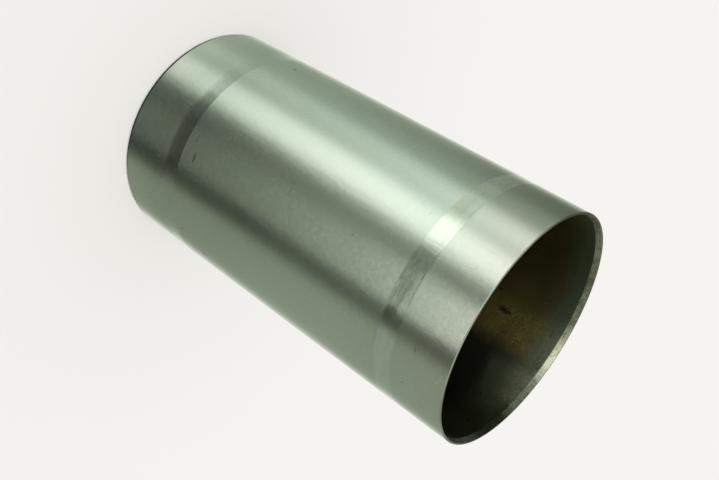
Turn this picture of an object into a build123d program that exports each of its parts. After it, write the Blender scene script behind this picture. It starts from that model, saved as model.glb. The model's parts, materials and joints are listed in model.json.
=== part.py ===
from build123d import *
import os

# Dry cylinder liner for an engine block: one thin turned and ground sleeve of cast iron, with no flange.
# Millimetres, +Z up. The origin is the centre of the bottom face, and +Z runs along the bore to the top end,
# where the piston and its rings are put in. The bottom end goes into the block first.

# Main sizes
bore_diameter = 104.0
wall_thickness = 1.52
liner_length = 194.0

# Pilot: the lower stretch, ground slightly smaller so that the liner starts straight in its parent bore
pilot_height = 26.0
pilot_step = 0.15
run_out_height = 9.7

# Gauge band: a finely finished ring near the top, a hair below the ground surface
band_distance_from_top = 25.0
band_height = 9.0
band_depth = 0.02

# Top end: an edge break outside, a flat face, and a lead-in taper that closes the piston rings
top_edge_break = 0.2
ring_lead_in_depth = 2.8
ring_lead_in_width = 0.6

# Bottom end: a slim taper outside that finds the parent bore, and an edge break inside
block_lead_in_height = 1.2
block_lead_in_width = 0.3
bottom_edge_break = 0.3

# Radii and heights that follow from them
bore_radius = bore_diameter / 2
outer_radius = bore_radius + wall_thickness
pilot_radius = outer_radius - pilot_step
band_radius = outer_radius - band_depth
band_top = liner_length - band_distance_from_top
band_bottom = band_top - band_height
pilot_top = pilot_height + run_out_height


with BuildPart() as cylinder_liner:
    # Half section of the wall, with the bore's axis on the left
    with BuildSketch(Plane.XZ) as wall_section:
        with BuildLine():
            # Bottom face, from the bore's edge break out to the pilot
            foot = Polyline(
                (bore_radius, bottom_edge_break),
                (bore_radius + bottom_edge_break, 0),
                (pilot_radius - block_lead_in_width, 0),
                (pilot_radius, block_lead_in_height),
                (pilot_radius, pilot_height),
            )
            # The grinding wheel's edge leaves a hollow run-out, tangent to the pilot and sharp at the full size
            run_out = TangentArc(foot @ 1, (outer_radius, pilot_top), tangent=(0, 1))
            # Full outside diameter, with the gauge band let into it
            outside = Polyline(
                run_out @ 1,
                (outer_radius, band_bottom),
                (band_radius, band_bottom),
                (band_radius, band_top),
                (outer_radius, band_top),
                (outer_radius, liner_length - top_edge_break),
                (outer_radius - top_edge_break, liner_length),
            )
            # Top face, the lead-in taper for the rings, and the straight bore back to the bottom
            Polyline(
                outside @ 1,
                (bore_radius + ring_lead_in_width, liner_length),
                (bore_radius, liner_length - ring_lead_in_depth),
                foot @ 0,
            )
        make_face()
    revolve(axis=Axis.Z)

cylinder_liner.part.label = "cylinder_liner"

os.makedirs("parts", exist_ok=True)
export_step(cylinder_liner.part, "parts/cylinder_liner.step")
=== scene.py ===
import json
import math
from typing import NamedTuple

import bpy
import numpy as np
from mathutils import Matrix, Vector


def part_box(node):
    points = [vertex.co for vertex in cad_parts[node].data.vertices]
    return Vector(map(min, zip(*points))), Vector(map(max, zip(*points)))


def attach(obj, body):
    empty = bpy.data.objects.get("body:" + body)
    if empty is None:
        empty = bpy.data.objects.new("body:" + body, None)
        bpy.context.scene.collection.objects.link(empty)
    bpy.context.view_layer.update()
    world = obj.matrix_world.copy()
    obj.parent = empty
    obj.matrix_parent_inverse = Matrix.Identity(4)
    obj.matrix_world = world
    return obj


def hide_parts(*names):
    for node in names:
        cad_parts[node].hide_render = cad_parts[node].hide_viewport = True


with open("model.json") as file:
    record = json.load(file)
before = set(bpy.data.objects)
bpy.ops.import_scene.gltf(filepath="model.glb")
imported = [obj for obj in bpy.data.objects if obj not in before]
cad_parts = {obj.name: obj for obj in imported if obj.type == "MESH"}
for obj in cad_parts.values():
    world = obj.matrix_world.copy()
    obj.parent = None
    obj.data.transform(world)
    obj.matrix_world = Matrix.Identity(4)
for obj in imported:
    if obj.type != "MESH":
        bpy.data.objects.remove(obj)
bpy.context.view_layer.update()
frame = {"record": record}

# A dry cylinder liner: one thin iron sleeve, ground outside, turned at both ends and dull in the bore.
# It stands on its bottom end. Metres; millimetres where a name ends in _mm. Angles are in degrees, and those
# round the liner run from +X towards +Y.

MM = 0.001

# Sizes of the sleeve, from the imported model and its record
bore_mount = next(m for m in frame["record"]["mounts"] if m["name"] == "bore")
high_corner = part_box("cylinder_liner")[1]
liner_length_mm = high_corner.z / MM
outer_radius_mm = high_corner.x / MM
bore_radius_mm = bore_mount["dims"]["r_mm"]

# Sizes of its steps and edges, as in the part's source
pilot_height_mm = 26.0
pilot_step_mm = 0.15
run_out_height_mm = 9.7
band_distance_from_top_mm = 25.0
band_height_mm = 9.0
band_depth_mm = 0.02
top_edge_break_mm = 0.2
ring_lead_in_depth_mm = 2.8
ring_lead_in_width_mm = 0.6
block_lead_in_height_mm = 1.2
block_lead_in_width_mm = 0.3
bottom_edge_break_mm = 0.3

# Places that follow from them
pilot_radius_mm = outer_radius_mm - pilot_step_mm
pilot_top_mm = pilot_height_mm + run_out_height_mm
band_top_mm = liner_length_mm - band_distance_from_top_mm
band_bottom_mm = band_top_mm - band_height_mm
band_middle_mm = (band_top_mm + band_bottom_mm) / 2

# Fineness of the sleeve's surface
segments_round = 384
run_out_points = 9
row_spacing_mm = 5.0
edge_round_mm = 0.06
edge_round_steps = 4
sharp_corner_degrees = 1.5


# Surface of the sleeve


def run_out_curve():
    """Half section of the hollow run-out: a circular arc that leaves the pilot straight up, to full size.

    An arc of radius R that starts vertical has moved out by R(1 - cos a) when it has risen by R sin a.
    """
    arc_radius = (run_out_height_mm**2 + pilot_step_mm**2) / (2 * pilot_step_mm)
    angle = np.linspace(0, math.asin(run_out_height_mm / arc_radius), run_out_points)
    radius = pilot_radius_mm + arc_radius * (1 - np.cos(angle))
    return np.column_stack([radius, pilot_height_mm + arc_radius * np.sin(angle)])


def wall_corners():
    """Corners of the wall's half section as (radius, height), from the foot of the bore round the outside."""
    foot = [
        (bore_radius_mm, bottom_edge_break_mm),
        (bore_radius_mm + bottom_edge_break_mm, 0),
        (pilot_radius_mm - block_lead_in_width_mm, 0),
        (pilot_radius_mm, block_lead_in_height_mm),
    ]
    outside = [
        (outer_radius_mm, band_bottom_mm),
        (outer_radius_mm - band_depth_mm, band_bottom_mm),
        (outer_radius_mm - band_depth_mm, band_top_mm),
        (outer_radius_mm, band_top_mm),
        (outer_radius_mm, liner_length_mm - top_edge_break_mm),
        (outer_radius_mm - top_edge_break_mm, liner_length_mm),
    ]
    mouth = [
        (bore_radius_mm + ring_lead_in_width_mm, liner_length_mm),
        (bore_radius_mm, liner_length_mm - ring_lead_in_depth_mm),
    ]
    return np.vstack([foot, run_out_curve(), outside, mouth])


def rounded(corners):
    """The closed outline with each sharp corner turned into a small curve, and rows along its straight runs.

    A corner's curve is the quadratic (1-t)^2 A + 2t(1-t) C + t^2 B between points A and B on its two sides,
    which lie no further from C than a third of a run. A row beside each curve keeps the run's shading flat.
    """
    run = np.roll(corners, -1, axis=0) - corners
    length = np.linalg.norm(run, axis=1)
    along = run / length[:, None]
    along_before = np.roll(along, 1, axis=0)
    sharp = (along * along_before).sum(axis=1) < math.cos(math.radians(sharp_corner_degrees))
    shorter_run = np.minimum(length, np.roll(length, 1))
    reach = np.where(sharp, np.minimum(edge_round_mm, shorter_run / 3), 0)
    t = np.linspace(0, 1, edge_round_steps + 1)[:, None]
    points = []
    for number, corner in enumerate(corners):
        following = (number + 1) % len(corners)
        if sharp[number]:
            start = corner - along_before[number] * reach[number]
            end = corner + along[number] * reach[number]
            points.append((1 - t) ** 2 * start + 2 * t * (1 - t) * corner + t**2 * end)
        else:
            points.append(corner[None])
        first, last = 2 * reach[number], length[number] - 2 * reach[following]
        if last > first:
            rows = max(math.ceil((last - first) / row_spacing_mm), 1) + 1
            places = np.linspace(first, last, rows)
            places = places[0 if sharp[number] else 1 : rows if sharp[following] else -1]
            points.append(corner + places[:, None] * along[number])
    return np.vstack(points)


def turned_mesh(name, outline_mm):
    """Turns a closed half section about Z: a point (r, z) at angle a goes to (r cos a, r sin a, z)."""
    angle = np.arange(segments_round) * 2 * math.pi / segments_round
    radius, height = outline_mm[:, 0] * MM, outline_mm[:, 1] * MM
    points = np.empty((len(radius), segments_round, 3))
    points[..., 0] = radius[:, None] * np.cos(angle)
    points[..., 1] = radius[:, None] * np.sin(angle)
    points[..., 2] = height[:, None]
    index = np.arange(len(radius) * segments_round).reshape(len(radius), segments_round)
    above, beside = np.roll(index, -1, axis=0), np.roll(index, -1, axis=1)
    across = np.roll(above, -1, axis=1)
    faces = np.stack([index, beside, across, above], axis=-1).reshape(-1, 4)
    mesh = bpy.data.meshes.new(name)
    mesh.from_pydata(points.reshape(-1, 3), [], faces.tolist())
    mesh.polygons.foreach_set("use_smooth", np.ones(len(faces), bool))
    mesh.update()
    return mesh


# Shader maths


class Number:
    """A number in a material. Its operators add Math nodes, so a formula reads as one."""

    def __init__(self, graph, socket):
        self.graph = graph
        self.socket = socket

    def math(self, operation, *others):
        return self.graph.node("ShaderNodeMath", {"operation": operation}, [self, *others])

    def __add__(self, other):
        return self.math("ADD", other)

    def __sub__(self, other):
        return self.math("SUBTRACT", other)

    def __mul__(self, other):
        return self.math("MULTIPLY", other)

    def __truediv__(self, other):
        return self.math("DIVIDE", other)

    def __rsub__(self, other):
        return self.math("MULTIPLY_ADD", -1.0, other)

    __radd__ = __add__
    __rmul__ = __mul__

    def beside(self, output):
        """Another output of the same node."""
        return Number(self.graph, self.socket.node.outputs[output])

    def absolute(self):
        return self.math("ABSOLUTE")

    def least(self, other):
        return self.math("MINIMUM", other)

    def most(self, other):
        return self.math("MAXIMUM", other)

    def held(self):
        """The number held between 0 and 1."""
        return self.most(0.0).least(1.0)

    def wrapped(self):
        """The same angle between -180 and 180 degrees."""
        return self.math("WRAP", 180.0, -180.0)


class Graph:
    """The nodes of one material or of the world."""

    def __init__(self, owner):
        owner.use_nodes = True
        self.tree = owner.node_tree
        self.tree.nodes.clear()

    def node(self, kind, settings=None, values=(), output=0):
        """Adds a node, sets its settings and then its sockets, and returns one output.

        values is a list in socket order, or a dict by socket name or number. None leaves a socket as it is.
        """
        made = self.tree.nodes.new(kind)
        for name, value in (settings or {}).items():
            setattr(made, name, value)
        pairs = values.items() if isinstance(values, dict) else enumerate(values)
        for key, value in pairs:
            if isinstance(value, Number):
                self.tree.links.new(value.socket, made.inputs[key])
            elif value is not None:
                made.inputs[key].default_value = value
        return Number(self, made.outputs[output]) if made.outputs else None

    def step(self, value, low, high):
        """0 where value is at low, 1 where it is at high, and a smooth step between."""
        settings = {"interpolation_type": "SMOOTHSTEP"}
        values = {"Value": value, "From Min": low, "From Max": high, "To Min": 0.0, "To Max": 1.0}
        return self.node("ShaderNodeMapRange", settings, values)

    def window(self, value, centre, half, soft):
        """1 within half of centre, falling to 0 over soft."""
        return self.step((value - centre).absolute(), half + soft, half)

    def blend(self, share, first, second):
        """A number between first and second."""
        return self.node("ShaderNodeMix", {"data_type": "FLOAT"}, {0: share, 2: first, 3: second})

    def tint(self, share, first, second, mode="MIX"):
        """A colour between first and second, or between first and first times second."""
        first, second = (c if isinstance(c, Number) else (*c, 1.0) for c in (first, second))
        settings = {"data_type": "RGBA", "blend_type": mode}
        return self.node("ShaderNodeMix", settings, {0: share, 6: first, 7: second}, output=2)


class Stretch(NamedTuple):
    """A stretch round the liner, in degrees: its middle, its half width, the length of each soft end, and how
    far a fine texture, and then a slow one, makes the ends wander."""

    middle: float
    half: float
    soft: float
    wander: float = 0.0
    slow_wander: float = 0.0


class Sleeve(Graph):
    """A material on the liner, with the place on it as height and angle in handy units."""

    def __init__(self, name):
        self.material = bpy.data.materials.new(name)
        super().__init__(self.material)
        self.place = self.node("ShaderNodeTexCoord", output=3)
        x = self.node("ShaderNodeSeparateXYZ", None, [self.place])
        self.height_mm = x.beside(2) / MM
        self.angle = x.beside(1).math("ARCTAN2", x) * (180 / math.pi)

    def angle_from(self, degrees):
        """Signed angle round the liner from the given one, in degrees."""
        return (self.angle - degrees).wrapped()

    def stretch(self, stretch, texture=None, slow_texture=None):
        """1 along a stretch round the liner, and 0 beyond its soft ends."""
        away = self.angle_from(stretch.middle)
        if texture is not None:
            away = away + texture * stretch.wander
        if slow_texture is not None:
            away = away + slow_texture * stretch.slow_wander
        return self.window(away, 0.0, stretch.half, stretch.soft)

    def noise(self, level, upright=None, detail=2.0, roughness=0.5, distortion=0.0):
        """Noise about 0 with so many waves in a metre, level and upright. One number serves for both."""
        scales = (level, level, upright or level)
        values = {
            "Vector": self.node("ShaderNodeVectorMath", {"operation": "MULTIPLY"}, [self.place, scales]),
            "Scale": 1.0,
            "Detail": detail,
            "Roughness": roughness,
            "Distortion": distortion,
        }
        return self.node("ShaderNodeTexNoise", None, values) - 0.5

    def leaning(self, slope):
        """The normal leaned down by a small slope, where fine tool marks throw the light lower."""
        normal = self.node("ShaderNodeNewGeometry", output="Normal")
        down = self.node("ShaderNodeCombineXYZ", None, {"Z": slope * -1.0})
        leaned = self.node("ShaderNodeVectorMath", {"operation": "ADD"}, [normal, down])
        return self.node("ShaderNodeVectorMath", {"operation": "NORMALIZE"}, [leaned])

    def surface(self, colour, roughness, height, depth_mm, metallic=1.0, normal=None):
        """The finished surface: a Principled shader and a bump, whose height counts in the given depth."""
        depths = {"Strength": 1.0, "Distance": depth_mm * MM, "Height": height, "Normal": normal}
        bump = self.node("ShaderNodeBump", None, depths)
        values = {"Base Color": colour, "Roughness": roughness, "Metallic": metallic, "Normal": bump}
        shader = self.node("ShaderNodeBsdfPrincipled", None, values)
        self.node("ShaderNodeOutputMaterial", None, {"Surface": shader})
        return self.material


# Ground outside

# Ground iron, its gauge band and its marks. A warmth, a cast or the foot's lightening multiplies the colour;
# the foot's lightening is painted light.
iron_pale = (0.62, 0.715, 0.605)
iron_dark = (0.503, 0.58, 0.492)
iron_bright = (0.72, 0.81, 0.70)
iron_roughness = 0.26
band_pale = (0.66, 0.755, 0.64)
band_dark = (0.52, 0.60, 0.51)
band_roughness = 0.165
band_side_roughness = 0.25
# The brown of nicks and of a worn stretch of the band; it also paints shade in the run-out's hollow
mark_and_shade_brown = (0.07, 0.08, 0.05)
mouth_warmth = (1.04, 0.98, 1.0)
# Painted light: it lightens the wall towards the foot
foot_lightening = (1.16, 1.14, 1.17)
cool_cast = (0.989, 1.002, 1.006)
warm_cast = (1.012, 0.998, 0.98)
cold_cast = (0.99, 1.0, 1.055)
straw_cast = (1.005, 1.0, 0.972)

# Where the wall's finish differs round the liner
dotted_side = Stretch(-80.0, 15.0, 12.0, 20.0)
streaked_side = Stretch(-88.0, 18.0, 12.0)
cold_side = Stretch(-128.0, 13.0, 14.0, 14.0)
straw_side = Stretch(-48.0, 12.0, 10.0, 14.0)
cool_mouth_side = Stretch(-152.0, 12.0, 12.0)

# Where the stone left the gauge band stronger or weaker, showed its passes or wore it
band_strong = Stretch(-90.0, 48.0, 22.0, 30.0)
band_hatched = Stretch(-81.0, 12.0, 6.0, 10.0)
band_faded = Stretch(-25.0, 46.0, 14.0, 6.0)
band_blurred = Stretch(-148.0, 22.0, 18.0, 10.0)
band_shiny = Stretch(-102.5, 5.0, 6.0)
band_plain = Stretch(-66.0, 5.0, 6.0, 8.0)
band_one_pass = Stretch(-91.5, 2.5, 3.5, 4.0)
band_eased = Stretch(-70.0, 6.0, 8.0, 6.0)
band_flattened = Stretch(-121.0, 8.0, 8.0)
band_worn = Stretch(-121.0, 3.0, 3.0, 10.0)
band_rubbed = Stretch(-142.0, 6.0, 11.0, 10.0)

# Heights over which the wall's finish changes: first where a change is absent, then where it is full
foot_heights_mm = (24.0, 2.0)
cold_side_heights_mm = (10.0, pilot_top_mm)
mouth_heights_mm = (band_bottom_mm, liner_length_mm - 4.0)
cut_heights_mm = (band_top_mm - 4.0, band_bottom_mm + 2.5)
eased_heights_mm = (band_top_mm - 4.0, band_bottom_mm + 1.0)
hollow_start_heights_mm = (pilot_height_mm, pilot_height_mm + 3.5)
hollow_end_heights_mm = (pilot_top_mm + 0.1, pilot_top_mm - 0.1)
taper_heights_mm = (1.6, 1.1)

# The light pass of the gauge band, as heights from the band's top
light_pass_top_mm = (-0.4, -0.9)
light_pass_foot_mm = (-3.2, -2.0)

# Worn rims of the gauge band
band_rim_half_mm = 0.15
band_rim_soft_mm = 0.3

# Where the run-out throws more or less light, starts higher up and is darkened as painted shade
run_out_lit = Stretch(-112.5, 4.0, 5.0)
run_out_dim = Stretch(-102.5, 2.0, 4.0)
run_out_late = Stretch(-108.5, 7.0, 5.0)
run_out_shaded = Stretch(-78.5, 9.0, 7.0)

# Slopes of the fine tool marks in the run-out and in the strong and light passes of the gauge band
run_out_lean = 0.038
band_lean = 0.056
band_light_lean = 0.028

# Small nicks in the ground wall: height in mm, angle, half height and half width in mm, and strength
nicks = [
    (43.1, -76.4, 1.2, 2.1, 0.66),
    (43.2, -74.2, 0.55, 1.3, 0.8),
    (40.4, -84.2, 0.45, 2.6, 0.5),
    (40.3, -86.3, 0.6, 0.7, 0.6),
    (39.8, -89.3, 0.7, 0.9, 0.4),
    (46.3, -146.3, 0.8, 1.0, 0.6),
    (40.4, -34.6, 1.4, 0.6, 0.5),
    (14.2, -23.7, 0.6, 1.2, 0.45),
    (53.2, -25.7, 2.0, 0.6, 0.55),
    (145.8, -27.7, 1.4, 0.4, 0.3),
    (177.9, -59.7, 0.5, 1.6, 0.35),
    (133.5, -85.7, 0.6, 0.6, 0.35),
    (175.3, -39.7, 0.6, 0.6, 0.3),
]


class GroundWall(Sleeve):
    """The ground outside of the liner, with the textures that several of its marks share."""

    def __init__(self):
        super().__init__("ground_outside")
        self.ragged = self.noise(700.0)
        self.grain = self.noise(850.0, detail=3.0, roughness=0.65)
        self.lines = self.noise(22.0, 1300.0, detail=3.0, roughness=0.65)
        self.cloud = self.noise(42.0, 16.8, detail=4.0, roughness=0.6)
        self.mottle = self.noise(380.0, 608.0, detail=3.0, roughness=0.6)
        self.dots = self.noise(1350.0, detail=1.0)
        self.dotted = self.stretch(dotted_side, self.cloud)


def ground_colour(s):
    """Ground iron mottled by its grain and lines. It is painted paler at the foot, as painted light that
    brightens its reflection there, and warmer by the mouth, and drifts from cool to warm, with one cold and
    one straw-coloured side."""
    on_pilot = s.step(s.height_mm, pilot_top_mm, pilot_height_mm)
    grain = s.grain * (0.45 + on_pilot * (s.dotted * 1.3 + 0.15)) + s.dots * s.dotted * 0.75
    share = 0.5 + grain + s.lines * 0.25 + s.cloud * 0.6 + s.mottle * 0.3
    colour = s.tint(share, iron_dark, iron_pale)
    # Painted light: the wall is lightened towards the foot
    colour = s.tint(s.step(s.height_mm, *foot_heights_mm), colour, foot_lightening, "MULTIPLY")
    drift = s.step(s.noise(30.0, 15.0), -0.14, 0.14)
    colour = s.tint(1.0, colour, s.tint(drift, cool_cast, warm_cast), "MULTIPLY")
    below_band = s.step(s.height_mm, band_top_mm, band_bottom_mm)
    above_foot = s.step(s.height_mm, *cold_side_heights_mm)
    cold = s.stretch(cold_side, s.cloud) * below_band * above_foot
    colour = s.tint(cold, colour, cold_cast, "MULTIPLY")
    colour = s.tint(s.stretch(straw_side, s.cloud), colour, straw_cast, "MULTIPLY")
    near_mouth = s.step(s.height_mm, *mouth_heights_mm)
    near_mouth = near_mouth * (1 - s.stretch(cool_mouth_side) * 0.8)
    return s.tint(near_mouth, colour, mouth_warmth, "MULTIPLY")


def gauge_band(s):
    """The finer gauge band: its share of the surface, the share of its rims, its colour, roughness and slope.

    Its polish has crisp edges. Between two passes of the stone, near its top, lies a lighter stretch, and
    towards its foot the stone has cut a row of fine ragged lines.
    """
    hatched = s.stretch(band_hatched, s.cloud)
    cut = s.noise(280.0, 2500.0, roughness=0.65) * hatched
    cut = cut * (0.35 + s.step(s.height_mm, *cut_heights_mm))
    blurred = s.stretch(band_blurred, s.cloud)
    reach = s.height_mm + s.ragged * 0.3 + cut * 0.4
    half_height = band_height_mm / 2 - 0.1 - blurred * 0.4
    share = s.window(reach, band_middle_mm, half_height, blurred * 0.9 + 0.12)
    rims = s.window(s.height_mm, band_top_mm, band_rim_half_mm, band_rim_soft_mm)
    rims = rims + s.window(s.height_mm, band_bottom_mm, band_rim_half_mm, band_rim_soft_mm)
    rims = (rims * (1 - blurred * 0.8) * (0.2 + s.ragged)).most(0.0)

    faded = s.stretch(band_faded, s.cloud)
    from_top = s.height_mm - band_top_mm
    pass_top = s.step(from_top + s.ragged * 2.2 + s.dots * 1.6 - faded * 1.1, *light_pass_top_mm)
    pass_foot = s.step(from_top + s.cloud * 6.0 + s.mottle * 2.5 + faded * 1.1, *light_pass_foot_mm)
    light_pass = pass_top * pass_foot
    strong = s.stretch(band_strong, s.cloud)
    shiny = s.stretch(band_shiny)
    share = share * (1 - light_pass * (s.stretch(band_plain, s.cloud) * 0.45).most(shiny * 0.4))

    colour = s.tint(0.5 + s.mottle * 0.7 + s.lines * 0.8 + s.grain * 0.8, band_dark, band_pale)
    colour = s.tint(s.stretch(band_worn, s.cloud) * 0.16, colour, mark_and_shade_brown)
    colour = s.tint(s.stretch(band_rubbed, s.cloud) * (0.5 + s.mottle * 1.2), colour, iron_bright)
    roughness = s.blend(strong, band_side_roughness, band_roughness) + s.mottle * 0.06

    eased = s.stretch(band_eased, s.cloud) * 0.38 + s.stretch(band_flattened) * 0.55
    eased = eased * s.step(s.height_mm, *eased_heights_mm)
    slope = (band_light_lean + strong * (band_lean - band_light_lean)) * (1 - eased)
    light_slope = band_light_lean * (1 - faded * strong * 0.5)
    slope = s.blend(light_pass * strong * (1 - s.stretch(band_one_pass, s.cloud)), slope, light_slope)
    slope = slope * (1 - shiny * 0.7) + s.mottle * (0.03 + hatched * 0.03) + cut * 0.12
    return share, rims, colour, roughness, slope


def run_out(s):
    """The hollow run-out: the share of its painted shade, along one stretch of the hollow, and its slope."""
    start = s.height_mm - s.stretch(run_out_late) * 1.3
    hollow = s.step(start, *hollow_start_heights_mm) * s.step(s.height_mm, *hollow_end_heights_mm)
    lean = run_out_lean * (1 - s.stretch(run_out_lit) * 0.3 + s.stretch(run_out_dim) * 0.5)
    # Painted shade in the hollow along one stretch
    return hollow * s.stretch(run_out_shaded), hollow * (lean + s.mottle * 0.08)


def scuffs(s):
    """Thin curved scuffs, a few together in patches."""
    curves = s.noise(70.0, 240.0, detail=1.0, distortion=1.2).absolute()
    return s.step(curves, 0.014, 0.0) * s.step(s.noise(35.0, detail=1.0), 0.06, 0.18)


def pits_and_nicks(s):
    """Fine pits, and the nicks as ragged ellipses."""
    marked = s.step(s.noise(480.0, detail=1.0), 0.27, 0.32) * 0.2
    for height_mm, degrees, half_height_mm, half_width_mm, strength in nicks:
        along = (s.height_mm - height_mm) / half_height_mm
        across = s.angle_from(degrees) * (outer_radius_mm * math.pi / 180 / half_width_mm)
        away = along * along + across * across + s.ragged * 1.6
        marked = (s.step(away, 1.0, 0.35) * strength).most(marked)
    return marked


def ground_outside():
    """Ground outside of the liner: satin iron with grinding lines round it, the finer gauge band, the hollow
    of the run-out, darkened along one stretch as painted shade, a foot painted paler as painted light, fine
    pits, and a few nicks."""
    s = GroundWall()
    band, band_rims, band_colour, band_polish, band_slope = gauge_band(s)
    hollow_shade, run_out_slope = run_out(s)
    hair = s.step(s.noise(16.0, 1100.0, detail=1.0), 0.22, 0.30)
    scuff = scuffs(s)
    marked = pits_and_nicks(s)
    colour = s.tint(band, ground_colour(s), band_colour)
    colour = s.tint(band_rims, colour, iron_dark)
    colour = s.tint(hair * 0.2, colour, iron_bright)
    # Painted shade in the run-out's hollow
    colour = s.tint(hollow_shade * 0.25, colour, mark_and_shade_brown)
    colour = s.tint(scuff * 0.35, colour, iron_bright)
    colour = s.tint(marked, colour, mark_and_shade_brown)

    polish = s.blend(band, iron_roughness + s.grain * 0.05 + s.cloud * 0.05, band_polish)
    dapple = s.noise(560.0, detail=1.0, distortion=0.5) * (s.dotted * 0.018 + 0.022)
    slope = band_slope * band + run_out_slope + dapple + s.mottle * 0.02
    flats = s.noise(270.0, 85.0, detail=3.0, roughness=0.6)
    flats = flats * (s.stretch(streaked_side) * 0.034 + 0.007)
    relief = s.lines * 0.4 + s.grain * 2.4 + s.dots * s.dotted * 1.5 - scuff * 0.35
    height = relief * 0.0007 - marked * 0.015 + flats
    return s.surface(colour, polish + marked * 0.2, height, 1.0, normal=s.leaning(slope))


# Turned ends and the lead-in for the rings

# Dark colour of painted shade on the foot's taper, where it faces the camera; foot_pale is the taper's colour
# elsewhere
foot_dark = (0.035, 0.05, 0.035)
foot_pale = (0.50, 0.56, 0.49)
end_dull = (0.13, 0.135, 0.10)
end_pale = (0.25, 0.26, 0.20)
# Pale colour of the top end's painted highlight
end_highlight = (0.62, 0.625, 0.51)
edge_dull = (0.33, 0.355, 0.30)
# Bright colour of the edge break's painted highlight
edge_bright = (0.90, 0.91, 0.81)
olive = (0.20, 0.207, 0.135)
olive_pale = (0.52, 0.545, 0.40)
lead_in_grey = (0.50, 0.56, 0.49)
# Soot for dark dots in the bore and a dull stretch of the top end; the same colour paints shade on the far
# side of the mouth and down one side of the bore
soot_and_shade = (0.048, 0.059, 0.046)

# Where the top end carries a painted highlight, painted shade or a dull stretch, where the foot's taper is
# painted dark as shade, and where the edge break carries a painted highlight and painted shade
end_highlight_side = Stretch(-92.0, 14.0, 28.0, 15.0)
end_shade_side = Stretch(37.0, 22.0, 30.0, 15.0)
end_dull_side = Stretch(-150.0, 12.0, 12.0, 15.0)
foot_shade_side = Stretch(-92.0, 24.0, 26.0, 20.0)
edge_highlight_side = Stretch(-104.0, 46.0, 18.0, 20.0)
edge_shade_side = Stretch(37.0, 22.0, 30.0, 20.0)

# Where the lead-in carries a painted highlight, is bare, is grey with oxide, or is darkened as painted shade
lead_in_highlight = Stretch(157.5, 8.0, 10.0)
lead_in_bare = Stretch(-4.5, 14.0, 24.0, 12.0)
lead_in_greyed = Stretch(175.5, 14.0, 26.0, 12.0)
lead_in_oxide = Stretch(53.5, 24.0, 14.0, 12.0)
lead_in_shade = Stretch(36.5, 6.0, 12.0, 12.0)
lead_in_wide_shade = Stretch(17.5, 16.0, 22.0, 12.0)


def turned_ends():
    """Turned end faces and edge breaks, dull with a little film. The top end carries a painted highlight on
    the side that faces the camera, painted shade on its far side and a dull, dark stretch on one more side.
    The taper at the foot is painted dark on the side that faces the camera, as painted shade.
    """
    s = Sleeve("turned_ends")
    grain = s.noise(900.0, detail=4.0, roughness=0.6)
    patches = s.noise(160.0, detail=3.0)
    at_top = s.step(s.height_mm, pilot_height_mm, pilot_top_mm)
    colour = s.tint(0.4 + grain * 0.8 + patches * 1.2, end_dull, end_pale)
    # Painted highlight: the top end is paler along the stretch that faces the camera
    colour = s.tint(s.stretch(end_highlight_side, patches) * at_top, colour, end_highlight)
    # Painted shade on the far side of the top end, and a dull, dark stretch on one more side
    darkened = (s.stretch(end_shade_side, patches) * 0.85).most(s.stretch(end_dull_side, patches) * 0.7)
    colour = s.tint(darkened * at_top, colour, soot_and_shade)
    taper = s.step(s.height_mm + grain * 0.5, *taper_heights_mm) * s.step(s.height_mm, 0.0, 0.1)
    # Painted shade: the taper at the foot is dark along the side that faces the camera
    colour = s.tint(taper, colour, s.tint(s.stretch(foot_shade_side, patches), foot_pale, foot_dark))
    return s.surface(colour, 0.38 + grain * 0.15, grain, 0.008)


def mouth_edge_break():
    """Edge break round the mouth: pale along the stretch that faces the camera, as a painted highlight, dull
    elsewhere, and dark on its far side, as painted shade.
    """
    s = Sleeve("mouth_edge_break")
    grain = s.noise(700.0, detail=3.0)
    # Painted highlight: the edge continues the wall's highlight along the stretch that faces the camera
    highlighted = s.stretch(edge_highlight_side, grain)
    colour = s.tint((highlighted + grain * 0.4).held(), edge_dull, edge_bright)
    # Painted shade on the far side of the edge
    colour = s.tint(s.stretch(edge_shade_side, grain) * 0.85, colour, soot_and_shade)
    return s.surface(colour, 0.30 + grain * 0.1, grain, 0.006)


def ring_lead_in():
    """Lead-in taper in the mouth: turned, mottled olive where oil has dried on it, and grey with oxide on a
    few stretches. A paler stretch is a painted highlight, and its far side is darkened as painted shade."""
    s = Sleeve("ring_lead_in")
    lines = s.noise(60.0, 2500.0)
    speckle = s.noise(750.0, detail=3.0, roughness=0.65)
    patches = s.noise(240.0, detail=3.0, roughness=0.6, distortion=0.6)
    # Painted highlight: the lead-in is paler along one stretch
    share = 0.5 + s.stretch(lead_in_highlight) * 0.5 + speckle * 2.6 + patches * 2.2 + lines * 0.5
    colour = s.tint(share.held(), olive, olive_pale)
    bare = s.stretch(lead_in_bare, patches)
    greyed = s.stretch(lead_in_greyed, patches)
    oxide = s.stretch(lead_in_oxide, patches)
    colour = s.tint((bare * 0.9).most(greyed * 0.35).most(oxide * 0.3), colour, lead_in_grey)
    # Painted shade on the far side of the lead-in
    darkened = s.stretch(lead_in_shade, patches) * 0.5 + s.stretch(lead_in_wide_shade, patches) * 0.38
    colour = s.tint(darkened, colour, soot_and_shade)
    metallic = 1 - (bare * 0.16).most(greyed * 0.18)
    return s.surface(colour, 0.30 + speckle * 0.25, speckle + lines, 0.008, metallic)


# Bore

# Grey iron, and the dried film from gold to brown. The deep lift multiplies the film's colour deeper in; it
# is painted light, which lightens the film down the bore.
bore_grey = (0.27, 0.31, 0.22)
grey_low = (0.20, 0.235, 0.16)
grey_high = (0.44, 0.495, 0.36)
grey_bright = (0.74, 0.80, 0.60)
film_gold = (0.56, 0.495, 0.145)
# Dark film that paints shade down one side of the bore
film_brown = (0.30, 0.25, 0.095)
film_dark = (0.162, 0.172, 0.125)
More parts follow.
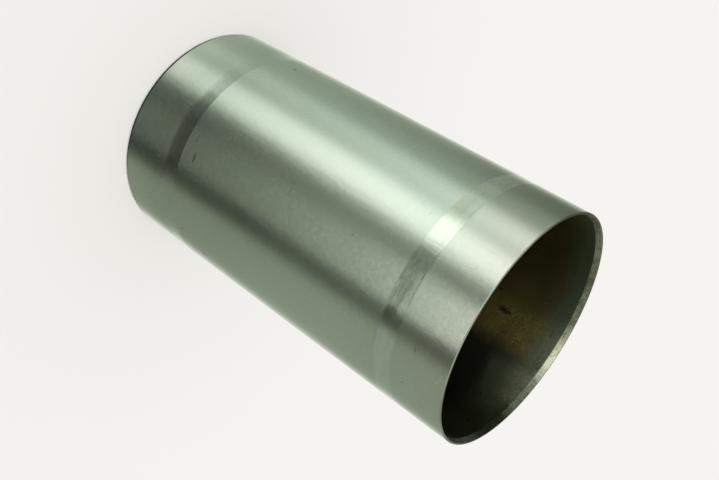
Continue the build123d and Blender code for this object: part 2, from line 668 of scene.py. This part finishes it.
# Painted light: it lightens the film deeper in the bore
painted_deep_light = (1.42, 1.36, 1.36)
scratch_pale = (0.70, 0.58, 0.29)
smudge_brown = (0.052, 0.043, 0.016)

# Where the film is golden, where it is painted dark as shade, where it is hazed with grey, and where painted
# shade lies deep down and on its far side; and where a painted highlight streak lies beside it
film_middle = 89.5
golden_side = Stretch(film_middle, 3.0, 14.0, 11.0)
film_shade_side = Stretch(3.5, 69.0, 8.0, 9.0, 14.0)
hazed_side = Stretch(3.5, 61.0, 8.0, 10.0, 16.0)
shaded_side = Stretch(-0.5, 73.0, 10.0, 9.0)
far_shade_side = Stretch(-20.5, 56.0, 20.0, 12.0, 20.0)
highlight_streak = Stretch(63.5, 4.0, 9.0, 8.0)

# The smudge: its angle and half width, and its depth and half height in bore radii below the mouth
smudge_degrees = 93.6
smudge_half_degrees = 1.6
smudge_depth = 0.615
smudge_half_depth = 0.075

# The scratches turn by so many degrees round the bore for each bore radius of depth
scratch_turn_degrees = 34.0
scratch_crossing_depth = 0.55
scratch_soft_degrees = 0.6

# Each scratch: its place and half width in degrees, then the middle, half length and soft end of its depths
scratches = [
    (1.8, 0.15, 0.66, 0.12, 0.06),
    (-1.0, 0.1, 0.53, 0.06, 0.04),
]


class Bore(Sleeve):
    """The bore, with its depth below the mouth in bore radii and the textures that its layers share."""

    def __init__(self):
        super().__init__("dull_bore")
        self.depth = (liner_length_mm - self.height_mm) / bore_radius_mm
        self.speckle = self.noise(1100.0, roughness=0.7)
        self.patches = self.noise(90.0, detail=4.0, roughness=0.6, distortion=0.4)
        self.wisps = self.noise(38.0, detail=3.0, roughness=0.55, distortion=0.8)
        self.fine = self.noise(40.0, 900.0, detail=3.0)
        self.curls = self.step(self.noise(290.0, detail=1.0, distortion=2.4).absolute(), 0.055, 0.0)


def bore_iron(s):
    """Grey iron by the mouth, with pale specks, and a paler streak beside the film that fades with depth, as
    a painted highlight.
    """
    specks = s.step(s.speckle, 0.06, 0.20)
    colour = s.tint((0.46 + s.speckle * 0.8 + s.fine + s.patches * 0.5).held(), grey_low, grey_high)
    from_film = s.angle_from(film_middle).absolute()
    colour = s.tint(specks * (0.30 - from_film * 0.004).most(0.0), colour, grey_bright)
    # Painted highlight: a pale streak near the mouth that fades with depth
    streak = s.stretch(highlight_streak, s.patches) * s.step(s.depth + s.patches * 0.2, 0.46, 0.14)
    return s.tint((streak * (0.72 + s.speckle * 2.2 + specks * 1.6)).held(), colour, grey_bright)


def bore_film(s):
    """Dried film: golden with fine curls along one stretch and brown beside it. One side is painted dark as
    shade, and by the mouth it is hazed with grey there. Deeper in, the film is painted lighter, as painted
    light."""
    near = s.step(s.depth + s.patches * 0.3, 0.72, 0.44)
    curled = s.curls * (0.88 + s.patches * 4.5).most(0.15) * (0.3 + near * 0.7) + (1 - near) * 0.2
    gold = s.stretch(golden_side, s.patches) * (0.24 + curled + s.speckle * (0.9 + near) + s.fine)
    film = s.tint(gold.held(), film_brown, film_gold)
    # Painted light: the film is lighter deeper in the bore
    film = s.tint(s.step(s.depth + s.patches * 0.3, 0.30, 0.66), film, painted_deep_light, "MULTIPLY")
    # Painted shade: the film is dark down one side of the bore
    film = s.tint(s.stretch(film_shade_side, s.patches, s.wisps), film, film_dark)
    haze = s.step(s.depth + s.patches * 0.2 + s.wisps * 0.7, 0.52, 0.30)
    return s.tint(s.stretch(hazed_side, s.patches, s.wisps) * haze, film, bore_grey)


def bore_dots_and_shade(s, colour):
    """Small dark dots, and painted shade on the far side of the film, which closes in on it with depth."""
    dots = s.step(s.noise(420.0, detail=0.0), 0.30, 0.36)
    colour = s.tint(dots * 0.8, colour, soot_and_shade)
    deep = s.step(s.depth + s.patches * 0.1 + s.wisps * 0.4, 0.34, 0.54)
    # Painted shade that closes in on the film with depth
    colour = s.tint(s.stretch(shaded_side, s.patches) * deep * 0.62, colour, soot_and_shade)
    # Painted shade on the far side of the film, at every depth
    return s.tint(s.stretch(far_shade_side, s.patches, s.wisps) * 0.68, colour, soot_and_shade)


def smudge_and_scratches(s, colour):
    """A dark smudge, a ragged ellipse, with two light hairline scratches beside it."""
    from_smudge = s.angle_from(smudge_degrees)
    along = (s.depth - smudge_depth + s.patches * 0.05) / smudge_half_depth
    across = (from_smudge + s.speckle * 5.0) / smudge_half_degrees
    smudge = s.step(along * along + across * across + s.speckle * 2.2, 1.5, 0.0)
    line = from_smudge + (s.depth - scratch_crossing_depth) * scratch_turn_degrees + s.patches * 8.0
    scratched = 0.0
    for place, half_degrees, *depths in scratches:
        share = s.window(line, place, half_degrees, scratch_soft_degrees) * s.window(s.depth, *depths)
        scratched = share + scratched
    colour = s.tint((scratched * (0.95 + s.speckle * 2.8)).held(), colour, scratch_pale)
    return s.tint(smudge * 0.84, colour, smudge_brown)


def dull_bore():
    """Dull bore: grey-green iron by the mouth, and below a ragged line a dried film, dark dots, painted shade
    and a smudge.
    """
    s = Bore()
    filmed = s.step(s.depth + s.patches * 0.25 + (s.speckle + s.fine) * 0.10, 0.08, 0.36)
    colour = bore_dots_and_shade(s, s.tint(filmed, bore_iron(s), bore_film(s)))
    colour = smudge_and_scratches(s, colour)
    roughness = 0.42 + s.speckle * 0.15 + s.patches * 0.1
    return s.surface(colour, roughness, s.speckle * 0.5 + s.curls * 0.15 + s.patches, 0.02)


# The liner


def make_liner():
    """The sleeve as one closed surface, with its finish chosen by where a face lies."""
    outline = rounded(wall_corners())
    mesh = turned_mesh("liner_body", outline)
    finishes = {
        "wall": ground_outside(),
        "ends": turned_ends(),
        "bore": dull_bore(),
        "lead_in": ring_lead_in(),
        "edge": mouth_edge_break(),
    }
    for finish in finishes.values():
        mesh.materials.append(finish)
    middle = (outline + np.roll(outline, -1, axis=0)) / 2
    radius, height = middle[:, 0], middle[:, 1]
    margin = edge_round_mm / 4
    above_foot = height > block_lead_in_height_mm
    above_bore = height > liner_length_mm - ring_lead_in_depth_mm
    below_edge = height < liner_length_mm - top_edge_break_mm
    places = {
        "bore": radius < bore_radius_mm + margin,
        "wall": (radius > pilot_radius_mm - margin) & above_foot & below_edge,
        "lead_in": (radius < bore_radius_mm + ring_lead_in_width_mm) & above_bore,
        "edge": (radius > outer_radius_mm - top_edge_break_mm) & ~below_edge,
    }
    slots = {name: number for number, name in enumerate(finishes)}
    slot = np.select(list(places.values()), [slots[name] for name in places], slots["ends"])
    mesh.polygons.foreach_set("material_index", np.repeat(slot, segments_round))
    liner = bpy.data.objects.new("liner_body", mesh)
    bpy.context.scene.collection.objects.link(liner)
    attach(liner, "root")
    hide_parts("cylinder_liner")


# Studio

background = (0.921, 0.905, 0.871)
floor_level_mm = -0.2
floor_half_size = 3.0
floor_own_share = 0.55
disc_lift_mm = 0.05
disc_points = 64


def floor_material(name, own_share):
    """Pale matt floor. To the camera, the given share of its paleness is its own."""
    material = bpy.data.materials.new(name)
    graph = Graph(material)
    shader = graph.node("ShaderNodeBsdfDiffuse", None, {"Color": (*background, 1.0)})
    if own_share:
        path = graph.node("ShaderNodeLightPath")
        seen = path.beside("Is Camera Ray").most(path.beside("Is Glossy Ray"))
        seen = seen.most(path.beside("Is Transmission Ray"))
        own = graph.node("ShaderNodeEmission", None, {"Color": (*background, 1.0), "Strength": 1.0})
        shader = graph.node("ShaderNodeMixShader", None, [seen * own_share, shader, own])
    graph.node("ShaderNodeOutputMaterial", None, {"Surface": shader})
    return material


def make_floor_piece(name, points, own_share):
    """One flat face of the floor through the given points."""
    mesh = bpy.data.meshes.new(name)
    mesh.from_pydata(points, [], [tuple(range(len(points)))])
    mesh.materials.append(floor_material(name, own_share))
    floor = bpy.data.objects.new(name, mesh)
    bpy.context.scene.collection.objects.link(floor)
    return floor


def make_floor():
    """Pale floor. What the metal reflects below the horizon is the studio's panels, so the wide floor is left
    out of reflections, and a disc of it stays under the bore. Part of the wide floor's paleness is its own,
    which leaves the liner's shadow soft and light."""
    z = floor_level_mm * MM
    square = [(-1, -1), (1, -1), (1, 1), (-1, 1)]
    wide = [(x * floor_half_size, y * floor_half_size, z) for x, y in square]
    make_floor_piece("floor", wide, floor_own_share).visible_glossy = False
    angle = np.linspace(0, 2 * math.pi, disc_points, endpoint=False)
    rim = pilot_radius_mm * MM * np.column_stack([np.cos(angle), np.sin(angle)])
    make_floor_piece("floor_in_bore", [(x, y, z + disc_lift_mm * MM) for x, y in rim], 0.0)


# Soft panels round the liner, which the metal reflects. A rise is the height of a direction, from -1 straight
# down to 1 straight up. Each low panel has its middle, its half width and its soft edge in degrees, its lean
# in degrees for each unit of rise, and its light levels at the four rises of a gradient. A high panel has one
# level and no lean.
gradient_rises = (-0.80, -0.66, -0.50, -0.34)
lean_start_rise = -0.5
side_levels = (0.31, 0.34, 0.45, 0.40)
low_panels = {
    "back_wall": (113, 34, 33, 21, (1.80, 1.43, 1.35, 1.45)),
    "right_side": (145, 13, 29, -3, (0.42, 0.48, 0.39, 0.18)),
    "second_box": (-162, 4, 19, 53, (0.53, 0.71, 0.99, 1.50)),
    "dark_gap": (-44, 12, 16, -18, (0.02, 0.02, 0.11, 0.02)),
    "left_panel": (-67, 20, 3, -3, (0.02, 0.18, 0.43, 1.17)),
    "narrow_gap": (-114, 22, 12, -6, (0.02, 0.09, 0.35, 0.02)),
    "key_box": (-127.5, 7, 18, 34, (0.34, 1.35, 1.92, 1.61)),
}
high_side_level = 0.44
high_panels = {
    "left_box": (62, 16, 24, 0.92),
    "dark_side": (160, 33, 12, 0.02),
    "front_box": (-99, 12, 12, 2.50),
}
table_level = 0.40
overhead_level = 0.40

# The rises over which the table, the low panels, the high panels and the ceiling take over from each other
table_rises = (-0.97, -0.86)
horizon_rises = (-0.12, 0.04)
overhead_rises = (0.45, 0.75)

# Dim panels are slightly green, and lose that between these levels
dim_tint = (0.905, 1.0, 0.885)
dim_levels = (0.5, 1.4)

white = (1.0, 1.0, 1.0)


def panel_level(graph, azimuth, rise):
    """Light level of the panels in a direction."""
    shares = [graph.step(rise, lower, upper) for lower, upper in zip(gradient_rises, gradient_rises[1:])]

    def gradient(levels):
        result = levels[0]
        for share, level in zip(shares, levels[1:]):
            result = graph.blend(share, result, level)
        return result

    low = gradient(side_levels)
    for centre, half, soft, lean, levels in low_panels.values():
        leaning = azimuth - (rise - lean_start_rise) * lean
        share = graph.window((leaning - centre).wrapped(), 0.0, half, soft)
        low = graph.blend(share, low, gradient(levels))
    low = graph.blend(graph.step(rise, *table_rises), table_level, low)
    high = high_side_level
    for centre, half, soft, level in high_panels.values():
        share = graph.window((azimuth - centre).wrapped(), 0.0, half, soft)
        high = graph.blend(share, high, level)
    high = graph.blend(graph.step(rise, *overhead_rises), high, overhead_level)
    return graph.blend(graph.step(rise, *horizon_rises), low, high)


def make_world():
    """Plain white soft light on everything, a pale background, and the studio's panels for reflections."""
    world = bpy.data.worlds.new("studio")
    bpy.context.scene.world = world
    world.cycles.sampling_method = "NONE"
    graph = Graph(world)
    x = graph.node("ShaderNodeSeparateXYZ", None, [graph.node("ShaderNodeTexCoord", output=0)])
    azimuth = x.beside(1).math("ARCTAN2", x) * (180 / math.pi)
    level = panel_level(graph, azimuth, x.beside(2))
    lit = graph.node("ShaderNodeCombineColor", None, [level, level, level])
    lit = graph.tint(1.0, background, lit, "MULTIPLY")
    studio = graph.tint(1.0, lit, graph.tint(graph.step(level, *dim_levels), dim_tint, white), "MULTIPLY")

    path = graph.node("ShaderNodeLightPath")
    seen_through = path.beside("Is Camera Ray").most(path.beside("Is Transmission Ray"))
    plain = graph.tint(seen_through, white, background)
    seen = graph.tint(path.beside("Is Glossy Ray"), plain, studio)
    shader = graph.node("ShaderNodeBackground", None, {"Color": seen, "Strength": 1.0})
    graph.node("ShaderNodeOutputWorld", None, {"Surface": shader})


# The photograph's camera: it looks down on the mouth from one side and is rolled, so the sleeve lies across
# the frame.
camera_place = Vector((0, -0.3496, 0.3135))
camera_aim = Vector((0.0051, 0, 0.1056))
camera_roll_degrees = 122.7
camera_lens_mm = 45.3
camera_sensor_mm = 36.0
camera_near_limit = 0.01


def make_camera():
    data = bpy.data.cameras.new("camera")
    data.lens = camera_lens_mm
    data.sensor_width = camera_sensor_mm
    data.clip_start = camera_near_limit
    camera = bpy.data.objects.new("camera", data)
    bpy.context.scene.collection.objects.link(camera)
    look = (camera_aim - camera_place).to_track_quat("-Z", "Y").to_matrix().to_4x4()
    roll = Matrix.Rotation(math.radians(camera_roll_degrees), 4, "Z")
    camera.matrix_world = Matrix.Translation(camera_place) @ look @ roll
    bpy.context.scene.camera = camera


make_camera()
make_floor()
make_world()
make_liner()

bpy.context.scene.view_settings.view_transform = "Standard"
